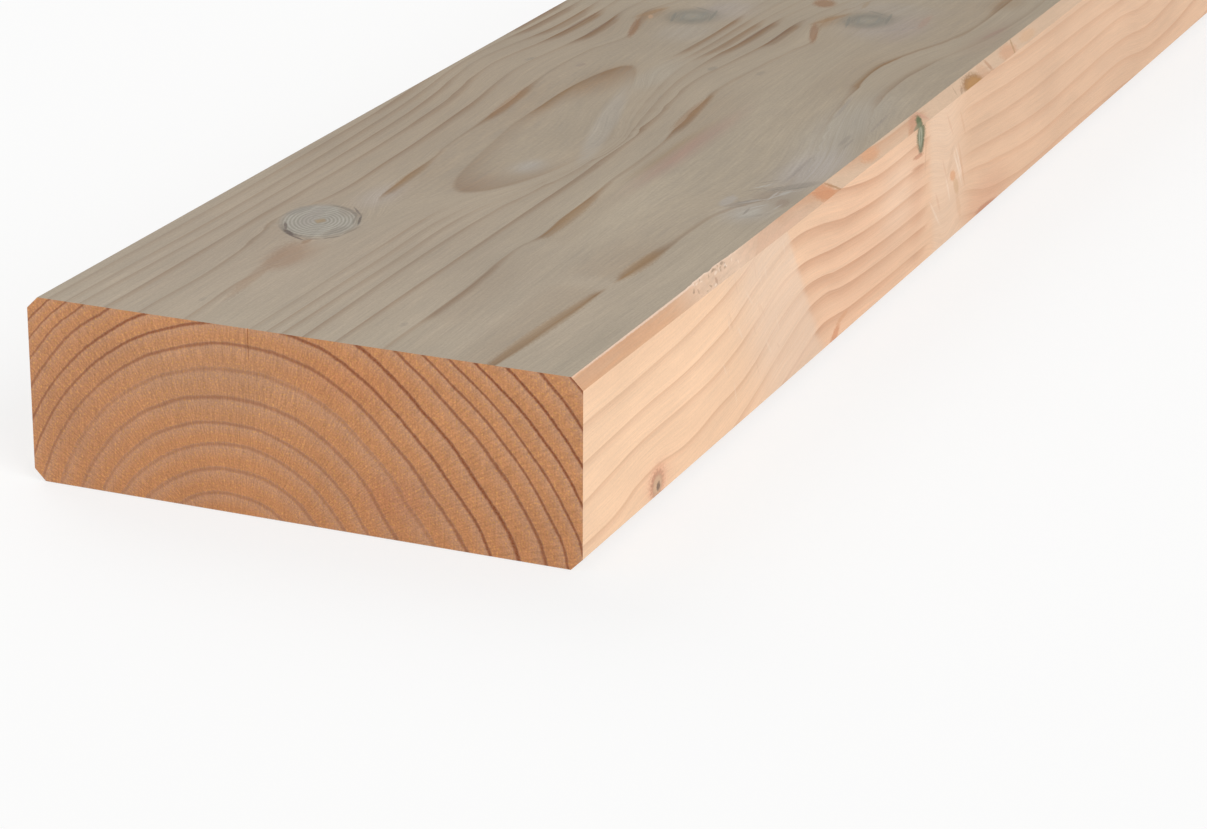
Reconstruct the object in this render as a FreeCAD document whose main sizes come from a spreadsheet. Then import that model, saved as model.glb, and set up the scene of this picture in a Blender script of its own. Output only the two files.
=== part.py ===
import FreeCAD, Part
import Sketcher
import os

# A planed timber beam: one length of softwood, planed on its four long faces, with its four long
# arrises eased by a narrow 45 degree flat and both ends sawn square. Sizes are in millimetres.
# The beam lies flat along Y. X is its width, Z its thickness, and the origin is the middle of its underside.

PARTS_FOLDER = "parts"

# alias, value, meaning
SIZES = (
    ("beam_length", 2400.0, "Length, a stock length for planed structural timber"),
    ("beam_width", 148.0, "Planed width, across the face that the beam lies on"),
    ("beam_thickness", 48.0, "Planed thickness, from the underside to the top"),
    ("arris_flat", 3.0, "Setback of each eased arris along the two faces that it joins"),
)


def add_size_sheet(doc):
    """Put the driving sizes in a spreadsheet, one row each, under their aliases."""
    sheet = doc.addObject("Spreadsheet::Sheet", "Sizes")
    for row, (alias, value, meaning) in enumerate(SIZES, start=1):
        sheet.set(f"A{row}", meaning)
        sheet.set(f"B{row}", str(value))
        sheet.setAlias(f"B{row}", alias)
    doc.recompute()
    return sheet


def origin_plane(body, role):
    """Return one of the body's own origin planes."""
    for feature in body.Origin.OriginFeatures:
        if feature.Role == role:
            return feature
    raise ValueError(f"{body.Label} has no plane {role}")


def add_cross_section(body):
    """Draw the sharp-cornered section: a rectangle on the underside's level, centred across the width."""
    sketch = body.newObject("Sketcher::SketchObject", "CrossSection")
    sketch.AttachmentSupport = [(origin_plane(body, "XZ_Plane"), "")]
    sketch.MapMode = "FlatFace"

    # The first corners are only near their places: the constraints below move them there.
    rough_half_width, rough_thickness = 70, 50
    lower_left = FreeCAD.Vector(-rough_half_width, 0, 0)
    lower_right = FreeCAD.Vector(rough_half_width, 0, 0)
    upper_right = FreeCAD.Vector(rough_half_width, rough_thickness, 0)
    upper_left = FreeCAD.Vector(-rough_half_width, rough_thickness, 0)
    corners = [lower_left, lower_right, upper_right, upper_left]
    for start, end in zip(corners, corners[1:] + corners[:1]):
        sketch.addGeometry(Part.LineSegment(start, end), False)
    underside, right_side, top, left_side = range(4)
    line_start, line_end = 1, 2
    origin_point = (-1, 1)

    for line in (underside, right_side, top, left_side):
        following = (line + 1) % 4
        sketch.addConstraint(Sketcher.Constraint("Coincident", line, line_end, following, line_start))
    for line in (underside, top):
        sketch.addConstraint(Sketcher.Constraint("Horizontal", line))
    for line in (right_side, left_side):
        sketch.addConstraint(Sketcher.Constraint("Vertical", line))
    sketch.addConstraint(
        Sketcher.Constraint("Symmetric", underside, line_start, underside, line_end, *origin_point)
    )

    add_bound_distance(sketch, "Width", (underside, line_start, underside, line_end), "beam_width")
    add_bound_distance(sketch, "Thickness", (right_side, line_start, right_side, line_end), "beam_thickness")
    return sketch


def add_bound_distance(sketch, name, points, alias):
    """Dimension two points of the sketch and bind the dimension to a size of the sheet."""
    start_line, start_point, end_line, end_point = points
    length = (
        sketch.getPoint(start_line, start_point) - sketch.getPoint(end_line, end_point)
    ).Length
    index = sketch.addConstraint(
        Sketcher.Constraint("Distance", start_line, start_point, end_line, end_point, length)
    )
    sketch.renameConstraint(index, name)
    sketch.setExpression(f"Constraints.{name}", f"Sizes.{alias}")


def long_edges(shape):
    """Name the edges that run along the beam: the four sharp arrises."""
    names = []
    for number, edge in enumerate(shape.Edges, start=1):
        direction = edge.Vertexes[-1].Point - edge.Vertexes[0].Point
        if direction.Length > 0 and abs(direction.normalize().y) > 0.999:
            names.append(f"Edge{number}")
    return names


def add_beam(doc):
    """The beam: its section drawn out to length, then its four long arrises eased."""
    body = doc.addObject("PartDesign::Body", "PlanedBeam")
    body.Label = "planed_beam"
    section = add_cross_section(body)

    blank = body.newObject("PartDesign::Pad", "SawnBlank")
    blank.Profile = section
    blank.SideType = "Symmetric"
    blank.setExpression("Length", "Sizes.beam_length")
    doc.recompute()

    arrises = body.newObject("PartDesign::Chamfer", "EasedArrises")
    arrises.Base = (blank, long_edges(blank.Shape))
    arrises.ChamferType = "Equal distance"
    arrises.setExpression("Size", "Sizes.arris_flat")
    body.Tip = arrises
    body.Placement = FreeCAD.Placement()
    doc.recompute()
    return body


def check_document(doc, bodies):
    """Stop if anything failed to recompute or a body isn't one sound solid."""
    for item in doc.Objects:
        if "Invalid" in item.State or "Error" in item.State:
            raise RuntimeError(f"{item.Label} failed: {item.State}")
    for body in bodies:
        if body.Shape.isNull() or not body.Shape.isValid() or len(body.Shape.Solids) != 1:
            raise RuntimeError(f"{body.Label} isn't one valid solid")


def check_volume(sheet, body):
    """Compare the solid with its section times its length."""
    corner_cuts = 4 * sheet.arris_flat**2 / 2
    section_area = sheet.beam_width * sheet.beam_thickness - corner_cuts
    expected = section_area * sheet.beam_length
    if abs(body.Shape.Volume - expected) > expected * 1e-6:
        raise RuntimeError(f"{body.Label} has volume {body.Shape.Volume}, not {expected}")


doc = FreeCAD.newDocument("PlanedTimberBeam")
sheet = add_size_sheet(doc)
beam = add_beam(doc)
check_document(doc, [beam])
check_volume(sheet, beam)

os.makedirs(PARTS_FOLDER, exist_ok=True)
for body in (beam,):
    body.Shape.exportStep(os.path.join(PARTS_FOLDER, f"{body.Label}.step"))
    print(body.Label, body.Shape.BoundBox, "volume", round(body.Shape.Volume))
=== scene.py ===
import math
import bmesh
import bpy
import numpy as np
from mathutils import Matrix, Vector


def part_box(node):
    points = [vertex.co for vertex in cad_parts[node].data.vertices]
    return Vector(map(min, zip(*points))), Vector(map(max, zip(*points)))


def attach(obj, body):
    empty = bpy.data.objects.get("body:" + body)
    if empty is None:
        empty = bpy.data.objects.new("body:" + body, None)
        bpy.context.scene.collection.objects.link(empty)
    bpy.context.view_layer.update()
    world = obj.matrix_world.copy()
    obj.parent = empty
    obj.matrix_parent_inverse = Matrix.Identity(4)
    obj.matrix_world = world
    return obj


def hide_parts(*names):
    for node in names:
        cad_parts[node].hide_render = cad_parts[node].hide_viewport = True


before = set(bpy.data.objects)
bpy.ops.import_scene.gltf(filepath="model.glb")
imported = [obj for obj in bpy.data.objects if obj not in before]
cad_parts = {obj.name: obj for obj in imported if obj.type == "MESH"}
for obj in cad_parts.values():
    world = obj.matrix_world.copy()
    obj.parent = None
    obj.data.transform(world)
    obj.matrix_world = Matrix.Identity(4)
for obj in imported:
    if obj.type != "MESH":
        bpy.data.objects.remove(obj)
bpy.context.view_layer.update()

# The beam's body: one length of softwood, planed on its four long faces, with a narrow flat taken off
# each long arris by the planer and both ends cut square by a saw. Its mesh is a block with bevelled long
# edges, cut finely enough for the growth rings, knots and small nicks of the sections below.
MM = 0.001
NODE = "planed_beam"
ARRIS = 3.0
low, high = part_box(NODE)
WIDTH, LENGTH, THICKNESS = (high - low) / MM
CELL = 2.37
ZONE_ROWS = ((0, 400, 1.9), (400, 620, 4.0), (620, LENGTH, 9.0))
CHECK_ACROSS, CHECK_HALF_WIDTH = 60.8, 0.15

blank = bmesh.new()
block = Matrix.Translation((low + high) / 2) @ Matrix.Diagonal((*(high - low), 1.0))
bmesh.ops.create_cube(blank, size=1.0, matrix=block)


def add_piece(name, shape):
    """Put a finished bmesh into the scene. Gives the piece and its mesh."""
    mesh = bpy.data.meshes.new(name)
    shape.to_mesh(mesh)
    shape.free()
    piece = bpy.data.objects.new(name, mesh)
    bpy.context.scene.collection.objects.link(piece)
    return piece, mesh


def runs_along(edge):
    """True for an edge that lies along the beam."""
    span = edge.verts[1].co - edge.verts[0].co
    return abs(span.y) > 0.9 * span.length


bmesh.ops.bevel(
    blank, geom=[edge for edge in blank.edges if runs_along(edge)], offset=ARRIS * MM,
    offset_type="OFFSET", segments=1, profile=0.5, affect="EDGES", material=-1,
)
cuts = [((0, start, 0), (0, 1, 0)) for start, _, _ in ZONE_ROWS[1:]]
cuts += [((place, 0, 0), (1, 0, 0)) for place in (ARRIS / 2, WIDTH - ARRIS / 2)]
cuts += [((CHECK_ACROSS + side * CHECK_HALF_WIDTH, 0, 0), (1, 0, 0)) for side in (-1, 0, 1)]
for place in np.linspace(ARRIS, WIDTH - ARRIS, round(WIDTH / CELL))[1:-1]:
    cuts.append(((place, 0, 0), (1, 0, 0)))
for place in np.linspace(ARRIS, THICKNESS - ARRIS, round(THICKNESS / CELL))[1:-1]:
    cuts.append(((0, 0, place), (0, 0, 1)))
for point, normal in cuts:
    everything = blank.verts[:] + blank.edges[:] + blank.faces[:]
    place = low + Vector(point) * MM
    bmesh.ops.bisect_plane(blank, geom=everything, dist=1e-7, plane_co=place, plane_no=normal)
for start, end, row in ZONE_ROWS:
    middle = low.y + (start + end) / 2 * MM
    long_edges = [
        edge for edge in blank.edges
        if runs_along(edge) and min(v.co.y for v in edge.verts) < middle < max(v.co.y for v in edge.verts)
    ]
    bmesh.ops.subdivide_edges(blank, edges=long_edges, cuts=round((end - start) / row) - 1)

beam, mesh = add_piece("planed_softwood_beam", blank)

# Where each corner of each face lies, in millimetres: along the beam from its near end, across it from
# its left edge, and up from its underside. Each corner also knows which side of the beam its face is on.
OUTWARD = {
    "top": (0, 0, 1), "underside": (0, 0, -1), "right": (1, 0, 0), "left": (-1, 0, 0),
    "near end": (0, -1, 0), "far end": (0, 1, 0), "top right": (0.7, 0, 0.7), "top left": (-0.7, 0, 0.7),
    "low right": (0.7, 0, -0.7), "low left": (-0.7, 0, -0.7),
}
SIDES = list(OUTWARD)
point_of_corner = np.zeros(len(mesh.loops), int)
mesh.loops.foreach_get("vertex_index", point_of_corner)
points = np.zeros(len(mesh.vertices) * 3)
mesh.vertices.foreach_get("co", points)
points = (points.reshape(-1, 3) - np.array(low)) / MM
normals = np.zeros(len(mesh.polygons) * 3)
mesh.polygons.foreach_get("normal", normals)
side_of_face = (normals.reshape(-1, 3) @ np.array(list(OUTWARD.values())).T).argmax(1)
corners_of_face = np.zeros(len(mesh.polygons), int)
mesh.polygons.foreach_get("loop_total", corners_of_face)
side_of_corner = np.repeat(side_of_face, corners_of_face)
across, along, up = points[point_of_corner].T


def on_side(*names):
    """Which face corners lie on these sides of the beam."""
    return np.isin(side_of_corner, [SIDES.index(name) for name in names])


def rise(start, end, value):
    """0 before start, 1 after end, and an even rise between them."""
    t = np.clip((value - start) / (end - start), 0.0, 1.0)
    return t * t * (3.0 - 2.0 * t)


# Growth rings. The log's pith lies about 17 mm under the beam, left of its middle, and wanders slowly
# along its length, so that the rings show as arches on the ends, long ovals on the top and stripes on the
# edges. Each row is a direction in degrees from straight up, and how far from the pith the rings end in
# it.
PITH_ACROSS, PITH_UP = 57.0, -17.0
RING_RIMS = {
    -65: (25.5, 32, 37.2, 41.9, 47.4, 53.1, 58.1, 62.2, 65.8, 69.8, 73.6, 76.3, 79.5, 84, 89, 94, 100),
    -40: (24, 30, 36, 41.5, 47.5, 53.8, 59, 63.8, 67.8, 72.9, 76.8, 79.5, 82.3, 87, 92, 97, 103),
    0: (22, 28.7, 35.2, 40.5, 47.3, 54.7, 61.2, 66.4, 71.5, 76, 79.5, 82.5, 86, 91.5, 97.5, 103, 109),
    20: (21.7, 28.5, 34.8, 40, 47.2, 55, 61.6, 67.6, 74, 78.8, 82, 85.5, 89.5, 95, 101, 107, 113),
    45: (21, 28, 34.1, 39.8, 46.4, 53.2, 59.6, 65.4, 71.7, 77.9, 82.6, 86.9, 91.2, 96.5, 102.5, 108.5, 115),
    60: (20.5, 27.5, 34, 39.3, 45.6, 53.4, 60.5, 66.5, 73.3, 80.5, 85.6, 89.9, 95.2, 100, 105.6, 111, 117),
    75: (20.5, 27.5, 34.5, 40, 48, 57, 64.5, 70, 77.2, 84.2, 89.6, 93.8, 98.5, 104, 110, 116, 122),
}
INNER_RINGS = 4


def rings_from_pith(across, along, up):
    """How many rings lie between the pith and these points, and their distance and angle from the pith."""
    sway = 7.0 * np.sin(along / 410) + 2.0 * np.sin(along / 127)
    heave = 3.4 * np.sin(along / 251) - 2.4 * np.sin(along / 97)
    aside, above = across - PITH_ACROSS - sway, up - PITH_UP - heave
    distance, angle = np.hypot(aside, above), np.degrees(np.arctan2(aside, above))
    looks = sorted(RING_RIMS)
    counts = []
    for look in looks:
        rims = RING_RIMS[look]
        inner = [rims[0] * ring / INNER_RINGS for ring in range(INNER_RINGS)]
        counts.append(np.interp(distance, (*inner, *rims), np.arange(INNER_RINGS + len(rims))))
    rings = counts[0]
    for look, next_look, count, next_count in zip(looks, looks[1:], counts, counts[1:]):
        rings = rings + np.clip((angle - look) / (next_look - look), 0, 1) * (next_count - count)
    drift = 0.16 * np.sin(along / 63 + across / 21) + 0.12 * np.sin(along / 29 - up / 11 + across / 47)
    return rings + drift * rise(0, 200, along), distance, angle


# Grain lines of the first half metre, where the top and the right edge are seen close. Each is the rim of
# a ring: its number, points on it as distance along the beam and place across the face, and how strongly
# its late wood shows, also against the distance along.
TOP_LINES = (
    (17, ((0, -1), (110, 0), (245, -5), (400, -2)), ((0, 0.4),)),
    (16, ((0, 5.8), (110, 6.5), (198, 4.5), (245, 1), (300, 2), (400, 4)),
     ((0, 0.35), (100, 0.35), (150, 0.5), (200, 0.6), (240, 0.3), (270, 0.4), (282, 1.0), (310, 1.0),
      (324, 0.3))),
    (15, ((0, 10.6), (100, 11.5), (198, 8), (245, 4), (290, 6.2), (345, 7), (400, 8)),
     ((0, 0.35), (100, 0.4), (150, 0.55), (200, 0.6), (240, 0.3), (270, 0.4), (282, 1.0), (310, 1.0),
      (324, 0.3))),
    (14, ((0, 14.3), (90, 15.6), (198, 12.5), (245, 7.5), (290, 12.5), (345, 12), (400, 14)),
     ((0, 0.4), (90, 0.4), (150, 0.5), (185, 0.7), (215, 0.7), (240, 0.25), (270, 0.4), (282, 0.9),
      (310, 0.9), (324, 0.3))),
    (13, ((0, 21.1), (80, 21), (198, 18), (245, 12.9), (275, 16.3), (292, 17.2), (345, 17), (400, 20)),
     ((0, 0.55), (60, 0.6), (95, 0.6), (120, 0.5), (160, 0.55), (190, 0.8), (215, 0.8), (240, 0.3),
      (268, 0.5), (282, 1.2), (306, 1.2), (318, 0.3))),
    (12, ((0, 30.6), (50, 30), (66, 27.5), (83, 25), (100, 29), (140, 29.2), (198, 26), (245, 21.7),
          (275, 24.6), (290, 25.3), (318, 24), (345, 26), (400, 29)),
     ((0, 0.45), (50, 0.5), (64, 0.6), (80, 0.5), (92, 0.1), (102, 0.5), (118, 0.6), (198, 0.8),
      (245, 0.35), (270, 0.4), (283, 1.2), (302, 1.2), (316, 0.3))),
    (11, ((0, 43.4), (40, 43), (60, 48.5), (78, 50.8), (92, 49), (108, 42.5), (125, 40.5), (140, 39.6),
          (160, 37.3), (198, 35.3), (245, 31.5), (270, 33), (288, 37), (303, 33.5), (318, 30.5),
          (335, 34), (360, 38.5), (400, 41)),
     ((0, 0.4), (30, 0.5), (50, 0.1), (104, 0.0), (114, 1.0), (136, 0.9), (155, 0.3), (178, 0.6),
      (195, 1.25), (214, 1.2), (236, 0.4), (285, 0.3), (298, 0.9), (312, 0.9), (326, 0.3))),
    (10, ((0, 52), (100, 55), (118, 60), (150, 62.5), (185, 61), (207, 57), (235, 53.5), (258, 51.6),
          (290, 48), (320, 46.8), (400, 51)),
     ((0, 0.0),)),
    (9, ((0, 61.3), (60, 61.4), (100, 61.4), (112, 62.5), (124, 66), (141, 73), (158, 77), (185, 77.4),
         (207, 70), (235, 64.5), (256, 57.5), (275, 59.4), (290, 60.2), (340, 60.5), (400, 62)),
     ((0, 0.35), (95, 0.4), (108, 0.05), (268, 0.05), (280, 0.8), (318, 0.9), (328, 0.15))),
    (8, ((0, 65.6), (60, 65.6), (100, 65.7), (120, 69), (141, 75), (158, 78), (185, 78.3), (207, 72),
         (235, 66.5), (256, 62), (275, 63.3), (290, 64), (320, 64.3), (400, 68)),
     ((0, 0.4), (95, 0.4), (112, 0.05), (268, 0.05), (282, 0.6), (315, 0.7), (328, 0.2))),
    (7, ((0, 69.4), (60, 69.4), (105, 69.6), (141, 76.5), (185, 79.2), (207, 73.7), (240, 68), (262, 66),
         (290, 67.2), (320, 68), (400, 75)),
     ((0, 0.5), (95, 0.5), (116, 0.1), (200, 0.2), (240, 0.35), (268, 0.1), (280, 0.9), (315, 0.9),
      (326, 0.2))),
    (6, ((0, 74.9), (110, 74.6), (158, 79.5), (185, 80.2), (207, 76.3), (250, 70.3), (275, 70.2),
         (300, 71.5), (325, 72), (350, 75), (400, 84)),
     ((0, 0.6), (90, 0.6), (110, 0.4), (140, 0.5), (200, 0.4), (262, 0.35), (286, 1.0), (298, 1.2),
      (318, 1.2), (330, 0.2))),
    (5, ((0, 83.4), (90, 82.7), (171, 81.6), (207, 78.9), (252, 74.6), (275, 77), (295, 78.8), (325, 79),
         (345, 82), (400, 93)),
     ((0, 0.55), (90, 0.65), (150, 0.8), (200, 0.8), (240, 0.5), (260, 0.4), (290, 0.6), (300, 1.2),
      (318, 1.2), (330, 0.2))),
    (4, ((0, 96), (26, 95.5), (60, 94.2), (84, 93.4), (93, 94.6), (110, 93.8), (144, 91.5), (175, 90.6),
         (207, 87.6), (241, 84.3), (262, 84.8), (290, 88), (305, 90), (318, 87), (334, 84.5), (352, 88),
         (400, 101)),
     ((0, 0.4), (20, 0.4), (28, 0.8), (62, 0.8), (84, 0.4), (89, 0.3), (95, 1.0), (130, 0.95),
      (148, 0.4), (186, 0.5), (205, 1.2), (228, 1.2), (245, 0.4), (292, 0.3), (303, 0.5), (325, 0.4),
      (338, 0.3))),
    (3.4, ((0, 111), (207, 104), (330, 104), (400, 113)), ((0, 0.0),)),
    (4, ((0, 125.8), (30, 127), (60, 128), (80, 129.2), (98, 129.4), (117, 129.5), (130, 130.5),
         (138, 132.5), (146, 136), (160, 138), (185, 136), (215, 129), (248, 123.5), (268, 121.2),
         (283, 120.8), (302, 124), (322, 130), (343, 132.5), (377, 131.5), (420, 129)),
     ((0, 1.1), (30, 0.95), (58, 0.95), (63, 0.05), (67, 0.05), (73, 1.1), (92, 1.1), (106, 0.6),
      (130, 0.45), (142, 0.5), (155, 0.1), (205, 0.1), (245, 0.4), (262, 1.0), (290, 1.0), (304, 0.6),
      (345, 0.6), (368, 1.1), (400, 0.6))),
    (5, ((0, 153), (140, 152), (200, 145), (252, 131.5), (275, 130.8), (296, 132.9), (330, 139),
         (360, 141), (420, 139)),
     ((0, 0.1), (236, 0.1), (250, 0.45), (262, 0.6), (294, 0.6), (306, 0.2), (345, 0.3))),
    (6, ((0, 163), (200, 156), (300, 149), (420, 152)), ((0, 0.3),)),
)
EDGE_SHOWN = (
    (0, 0.42), (128, 0.42), (129, 0.75), (190, 0.72), (212, 0.55), (230, 0.5), (240, 0.7), (246, 0.55),
    (251, 0.0), (276, 0.0), (290, 0.4), (330, 0.45), (600, 0.42),
)
EDGE_LINES = (
    (12, ((0, -36), (100, -20), (140, -6), (162, -1), (200, -3), (284, -5), (330, -12), (510, -16)),
     EDGE_SHOWN),
    (13, ((0, -24), (100, -8), (125, 2), (140, 6), (162, 10.7), (178, 9.4), (200, 8.8), (245, 8),
          (284, 7), (305, 3), (330, -1), (405, -3), (510, -5)), EDGE_SHOWN),
    (14, ((0, -6), (60, -3), (90, 2), (113, 8), (130, 13), (152, 18.6), (165, 18.6), (178, 16.6),
          (200, 15.3), (245, 14), (284, 14), (305, 8.8), (330, 6.1), (405, 5), (450, 4), (510, 1)),
     EDGE_SHOWN),
    (15, ((0, 6.5), (21, 7.5), (34, 10.7), (45, 11.4), (63, 10.1), (87, 12.7), (102, 14), (113, 16.6),
          (126, 21.2), (145, 25.1), (178, 21.8), (200, 20.5), (245, 19.5), (284, 19.9), (311, 16.6),
          (344, 13.3), (405, 12.9), (450, 13), (480, 8.5), (510, 7)), EDGE_SHOWN),
    (16, ((0, 17.6), (34, 20.5), (60, 20.8), (87, 22.1), (100, 24.4), (113, 27.7), (132, 32.3),
          (145, 32.6), (171, 29.7), (200, 27.4), (245, 26.4), (285, 25.1), (312, 22.9), (357, 19.9),
          (405, 20.2), (430, 20.8), (455, 19.6), (480, 16), (510, 15)), EDGE_SHOWN),
    (17, ((0, 27.1), (34, 28.6), (73, 29.7), (93, 32.3), (113, 37.5), (136, 41.4), (158, 39.5),
          (178, 35.9), (200, 34.3), (245, 33.5), (284, 32.3), (318, 29.7), (405, 28.7), (450, 28.5),
          (470, 25.5), (510, 24)), EDGE_SHOWN),
    (18, ((0, 36.9), (35, 37.5), (67, 38.8), (90, 41), (106, 44), (120, 48), (145, 50), (160, 48),
          (174, 45.4), (200, 41), (245, 40.3), (284, 39.5), (330, 36.9), (405, 35.6), (510, 32)),
     EDGE_SHOWN),
    (19, ((0, 47.5), (67, 50), (120, 56), (174, 52), (200, 48.5), (245, 47.5), (284, 46.5), (330, 44),
          (405, 43), (510, 41)), EDGE_SHOWN),
    (20, ((0, 58), (200, 56), (510, 52)), EDGE_SHOWN),
)


def curve_at(line, distance):
    """The place across the face of a smooth curve through a line's points, at these distances along."""
    x, y = np.array(line, float).T
    slope = np.gradient(y, x)
    left = np.clip(np.searchsorted(x, distance) - 1, 0, len(x) - 2)
    step = x[left + 1] - x[left]
    t = np.clip((distance - x[left]) / step, 0.0, 1.0)
    straight = y[left] + (y[left + 1] - y[left]) * t * t * (3 - 2 * t)
    return straight + step * t * (1 - t) * (slope[left] * (1 - t) - slope[left + 1] * t)


def table_at(table, distance):
    """A table of (distance along, value) pairs, read at these distances along."""
    return np.interp(distance, *np.array(table, float).T)


def read_lines(lines, distance, place):
    """Ring number, straightened place, late wood strength and ring width in mm, at points of a face."""
    result = np.zeros((4, len(place)))
    for (ring, curve, shown), (next_ring, next_curve, next_shown) in zip(lines, lines[1:]):
        start, end = curve_at(curve, distance), curve_at(next_curve, distance)
        width = np.maximum(end - start, 1e-3)
        share = np.clip((place - start) / width, 0, 1)
        home, next_home = curve[0][1], next_curve[0][1]
        strengths = table_at(shown, distance), table_at(next_shown, distance)
        turn = rise(0.1, 0.35, share) if next_ring > ring else rise(0.65, 0.9, share)
        found = (
            ring + (next_ring - ring) * share, home + (next_home - home) * share,
            strengths[0] + (strengths[1] - strengths[0]) * turn, width / max(abs(next_ring - ring), 0.5),
        )
        result = np.where((place >= start) & (end > start), np.stack(found), result)
    return result


# Knots: the cut ends of branches, in whorls up the log. Each has its place along and across its face, its
# half length and half width, its tilt in degrees and how dark it is, from 0 to 1. Grain lines part round
# them.
KNOTS = {
    "top": (
        (83.5, 37.5, 14.2, 10.0, 24, 1.0), (318.6, 46.8, 8.8, 7.4, 0, 0.2),
        (336.0, 98.0, 8.8, 7.4, 0, 0.2), (648, 29, 8, 6, 8, 0.6), (662, 112, 10, 8, -10, 0.7),
        (955, 71, 13, 10, 5, 0.8), (1262, 40, 9, 7, -12, 0.55), (1290, 101, 12, 9, 10, 0.85),
        (1618, 62, 10, 8, 0, 0.6), (1962, 118, 8, 7, -8, 0.5), (1985, 46, 12, 9, 12, 0.8),
        (2268, 84, 9, 7, 0, 0.6),
    ),
    "underside": (
        (88, 96, 9, 7, 10, 0.6), (332, 58, 12, 9, -8, 0.8), (655, 74, 9, 8, 0, 0.6),
        (948, 41, 10, 8, 6, 0.7), (1280, 66, 13, 9, -10, 0.8), (1622, 104, 9, 7, 12, 0.6),
        (1978, 57, 11, 9, 0, 0.8), (2262, 40, 8, 6, 5, 0.6),
    ),
    "right": (
        (652, 27, 9, 6, 5, 0.7), (1281, 12, 11, 6, -6, 0.8), (1625, 33, 6, 4, 0, 0.6),
        (1972, 21, 10, 7, 4, 0.75), (2272, 35, 6, 4, 0, 0.5),
    ),
    "left": (
        (81, 30, 9, 6, -5, 0.75), (641, 15, 8, 5, 4, 0.7), (950, 33, 7, 5, 0, 0.6),
        (1270, 24, 11, 7, -4, 0.8), (1985, 14, 8, 5, 3, 0.7), (2266, 29, 7, 5, 0, 0.6),
    ),
}
FAR_OFF = 9.0


def knot_offset(knot, distance, place):
    """How far points are from a knot's middle, lengthwise and crosswise. The knot's rim is at 1."""
    knot_along, knot_across, half_length, half_width, tilt, _ = knot
    lean = math.radians(tilt)
    dx, dy = distance - knot_along, place - knot_across
    lengthwise = (dx * math.cos(lean) - dy * math.sin(lean)) / half_length
    crosswise = (dx * math.sin(lean) + dy * math.cos(lean)) / half_width
    return lengthwise, crosswise


def grain_parted(distance, place, knots):
    """The places across a face that the grain would have with no knots: lines part round each knot."""
    straight = place.copy()
    for knot_along, knot_across, half_length, half_width, _, _ in knots:
        reach = np.exp(-((distance - knot_along) / (2.1 * half_length)) ** 2)
        reach *= np.exp(-((place - knot_across) / (2.3 * half_width)) ** 2)
        straight -= 0.72 * reach * (place - knot_across)
    return straight


# Each long face is read in its own directions: along the beam, and across or up it. The flats on the
# arrises take the grain of the edge beside them. Late wood is at least 2.4 mm of a ring, more where it
# shows more, and is kept as a share of the ring's width. The right edge is torn in a leaning strip, where
# its lines fade, and its fibres bulge beside the resin pocket.
corners = len(along)
rings, strength, late_share = np.zeros(corners), np.zeros(corners), np.full(corners, 0.35)
fibre = np.zeros((corners, 3))
knot_reach, knot_dark, knot_rim = np.full(corners, FAR_OFF), np.zeros(corners), np.zeros(corners)
DRAWN_UNTIL = {"top": (385.0, 800.0), "right": (430.0, 660.0)}
LATE_WOOD_LEAST, LATE_WOOD_MORE = 2.4, {"top": 0.9, "right": 3.0}
CRACKED_SIDE = 0.81
TEAR_TOP, TEAR_LEAN = 41.0, 0.65
BULGE, BULGE_MIDDLE, BULGE_REACH = 5.0, 266.0, 10.0


def along_tear(distance, height):
    """Distance along the right edge, read on lines that lean as its torn strip does."""
    return distance - (TEAR_TOP - height) * TEAR_LEAN


for side, knots in KNOTS.items():
    flat = side in ("top", "underside")
    here = on_side(side) if flat else on_side(side, f"top {side}", f"low {side}")
    distance, place = along[here], (across if flat else up)[here]
    straight = grain_parted(distance, place, knots)
    inner = (straight, distance, up[here]) if flat else (across[here], distance, straight)
    count = rings_from_pith(*inner)[0]
    shown = 0.5 + 0.25 * np.sin(distance / 73 + count) * np.sin(distance / 171 - 2.3 * count)
    share = np.full(len(distance), 0.35)
    if side in DRAWN_UNTIL:
        drawn = read_lines(TOP_LINES if flat else EDGE_LINES, distance, place)
        drawn[3] = np.clip((LATE_WOOD_LEAST + LATE_WOOD_MORE[side] * drawn[2]) / drawn[3], 0.06, 0.95)
        if side == "right":
            slanted = along_tear(distance, place)
            drawn[2] *= 1 - 0.7 * rise(90, 118, slanted) * (1 - rise(134, 138, slanted))
            drawn[1] += BULGE * np.exp(-((distance - BULGE_MIDDLE) / BULGE_REACH) ** 2)
        far = rise(*DRAWN_UNTIL[side], distance)
        count, straight, shown, share = (
            near + (away - near) * far for near, away in zip(drawn, (count, straight, shown, share))
        )
    rings[here], strength[here], late_share[here] = count, shown, share
    fibre[here] = np.stack((straight, distance, across[here] + up[here] - place), axis=1)
    for knot in knots:
        lengthwise, crosswise = knot_offset(knot, distance, place)
        reach = np.hypot(lengthwise, crosswise)
        nearer = reach < knot_reach[here]
        cracked = rise(0.2, 0.9, np.cos(2 * (np.arctan2(crosswise, lengthwise) - CRACKED_SIDE)))
        knot_dark[here] = np.where(nearer, knot[-1], knot_dark[here])
        knot_rim[here] = np.where(nearer, 0.2 + 0.8 * cracked, knot_rim[here])
        knot_reach[here] = np.minimum(reach, knot_reach[here])

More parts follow.
